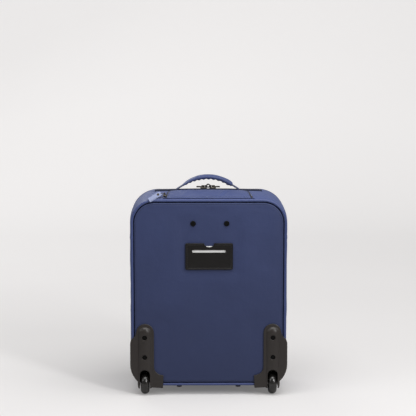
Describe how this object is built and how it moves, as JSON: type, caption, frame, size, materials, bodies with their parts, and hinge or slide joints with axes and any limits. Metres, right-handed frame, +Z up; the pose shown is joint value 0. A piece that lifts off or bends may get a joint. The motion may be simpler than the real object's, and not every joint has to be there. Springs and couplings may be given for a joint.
{
  "type": "softside upright suitcase",
  "caption": "Softside upright suitcase on wheels with a telescopic handle under a zipped cover, a padded carry handle, an address holder and a hinged lid.",
  "frame": {"origin": "on the floor, below the middle of the bounding box", "axes": "+Z up; -Y is the rear with the wheels and the address holder, +Y is the lid; +X is to the right of someone behind the case"},
  "size_m": [0.358, 0.2118, 0.4915],
  "materials": {
    "navy_nylon": "smooth navy nylon cloth",
    "navy_piping": "navy binding over a cord",
    "grey_lining": "grey lining cloth",
    "black_plastic": "moulded plastic with a fine grain",
    "black_leatherette": "glossy black leatherette",
    "tyre_rubber": "polyurethane tyre",
    "steel": "plated steel",
    "aluminium": "anodised aluminium tube",
    "antique_metal": "dark plated zinc",
    "zip_tape": "woven zip tape with a coil",
    "grey_board": "plastic stiffening board",
    "white_card": "white card"
  },
  "bodies": {
    "case": {"rear_panel": "navy_nylon", "frame_board": "grey_board", "body_gusset": "navy_nylon", "rear_piping": "navy_piping", "rear_piping_bottom": "navy_piping", "body_lining": "grey_lining", "main_zip_body_side": "zip_tape", "id_holder": "black_leatherette", "carry_base_strap": "navy_nylon", "cover_zip": "zip_tape", "trolley_bezel": "black_plastic", "tube_foot_bar": "black_plastic", "outer_tube_left": "aluminium", "outer_tube_right": "aluminium", "bezel_screw_left": "black_plastic", "bezel_screw_right": "black_plastic", "wheel_housing_left": "black_plastic", "wheel_housing_right": "black_plastic", "housing_screw_upper_left": "black_plastic", "housing_screw_upper_right": "black_plastic", "housing_screw_lower_left": "black_plastic", "housing_screw_lower_right": "black_plastic", "wheel_axle_left": "steel", "wheel_axle_right": "steel", "front_foot_left": "black_plastic", "front_foot_right": "black_plastic"},
    "lid": {"lid_gusset": "navy_nylon", "lid_panel": "navy_nylon", "lid_lining": "grey_lining", "front_piping": "navy_piping", "main_zip_lid_side": "zip_tape", "lower_pocket": "navy_nylon", "upper_pocket": "navy_nylon", "lower_pocket_zip": "zip_tape", "upper_pocket_zip": "zip_tape"},
    "lower_pocket_slider": {"lower_pocket_slider": "antique_metal"},
    "upper_pocket_slider": {"upper_pocket_slider": "antique_metal"},
    "handle_cover": {"handle_cover": "navy_nylon"},
    "cover_slider": {"cover_slider": "antique_metal"},
    "cover_pull": {"cover_pull": "navy_nylon"},
    "carry_handle": {"carry_strap": "navy_nylon", "carry_grip": "navy_nylon"},
    "trolley_middle": {"middle_tube_left": "aluminium", "middle_tube_right": "aluminium"},
    "trolley_inner": {"inner_tube_left": "aluminium", "inner_tube_right": "aluminium", "trolley_grip": "black_plastic"},
    "trolley_button": {"trolley_button": "black_plastic", "release_yoke": "steel"},
    "main_slider_left": {"main_slider_left": "antique_metal"},
    "main_slider_right": {"main_slider_right": "antique_metal"},
    "main_pull_left": {"main_pull_left": "antique_metal"},
    "main_pull_right": {"main_pull_right": "antique_metal"},
    "wheel_left": {"wheel_tyre_left": "tyre_rubber", "wheel_hub_left": "black_plastic", "wheel_bearing_left": "steel"},
    "wheel_right": {"wheel_tyre_right": "tyre_rubber", "wheel_hub_right": "black_plastic", "wheel_bearing_right": "steel"},
    "id_card": {"id_card": "white_card"}
  },
  "joints": [
    {"name": "lid_hinge", "type": "hinge", "parent": "case", "child": "lid", "pos_m": [0, 0.0515, 0.022], "axis": [-1, 0, 0], "range_deg": [0, 110]},
    {"name": "lower_pocket_zip_run", "type": "slide", "parent": "lid", "child": "lower_pocket_slider", "axis": [1, 0, 0], "range_m": [0, 0.268]},
    {"name": "upper_pocket_zip_run", "type": "slide", "parent": "lid", "child": "upper_pocket_slider", "axis": [1, 0, 0], "range_m": [0, 0.268]},
    {"name": "trolley_middle_slide", "type": "slide", "parent": "case", "child": "trolley_middle", "axis": [0, 0, 1], "range_m": [0, 0.265], "deforming": ["handle_cover"]},
    {"name": "trolley_inner_slide", "type": "slide", "parent": "trolley_middle", "child": "trolley_inner", "axis": [0, 0, 1], "range_m": [0, 0.265]},
    {"name": "trolley_button_press", "type": "slide", "parent": "trolley_inner", "child": "trolley_button", "axis": [0, 0, -1], "range_m": [0, 0.003], "stiffness_N_per_m": 300},
    {"name": "handle_cover_fold", "type": "hinge", "parent": "case", "child": "handle_cover", "pos_m": [0, -0.0905, 0.45], "axis": [1, 0, 0], "range_deg": [0, 220.5]},
    {"name": "cover_zip_run", "type": "slide", "parent": "case", "child": "cover_slider", "axis": [0.0895, 0.9842, 0.153], "range_m": [0, 0.031]},
    {"name": "cover_pull_turn", "type": "hinge", "parent": "cover_slider", "child": "cover_pull", "pos_m": [-0.0985, -0.078, 0.45624], "axis": [-1, 0, 0], "range_deg": [0, 100]},
    {"name": "carry_handle_lean", "type": "hinge", "parent": "case", "child": "carry_handle", "pos_m": [0, -0.0015, 0.45798], "axis": [-1, 0, 0], "range_deg": [-18, 18], "stiffness_Nm_per_rad": 0.05},
    {"name": "main_slider_left_run", "type": "slide", "parent": "case", "child": "main_slider_left", "axis": [-1, 0, 0], "range_m": [0, 0.105]},
    {"name": "main_slider_right_run", "type": "slide", "parent": "case", "child": "main_slider_right", "axis": [1, 0, 0], "range_m": [0, 0.105]},
    {"name": "main_pull_left_turn", "type": "hinge", "parent": "main_slider_left", "child": "main_pull_left", "pos_m": [-0.0118, 0.0507, 0.45716], "axis": [0, 1, 0], "range_deg": [0, 95]},
    {"name": "main_pull_right_turn", "type": "hinge", "parent": "main_slider_right", "child": "main_pull_right", "pos_m": [0.0118, 0.0507, 0.45716], "axis": [0, -1, 0], "range_deg": [0, 95]},
    {"name": "wheel_left_spin", "type": "hinge", "parent": "case", "child": "wheel_left", "pos_m": [-0.1467, -0.08, 0.025], "axis": [1, 0, 0], "continuous": true},
    {"name": "wheel_right_spin", "type": "hinge", "parent": "case", "child": "wheel_right", "pos_m": [0.1467, -0.08, 0.025], "axis": [1, 0, 0], "continuous": true},
    {"name": "id_card_slide", "type": "slide", "parent": "case", "child": "id_card", "axis": [0, 0, 1], "range_m": [0, 0.044]}
  ],
  "couplings": [
    {"joint": "trolley_inner_slide", "follows": "trolley_middle_slide", "ratio": 1},
    {"joint": "handle_cover_fold", "follows": "trolley_middle_slide", "rad_per_m": 14.489}
  ]
}
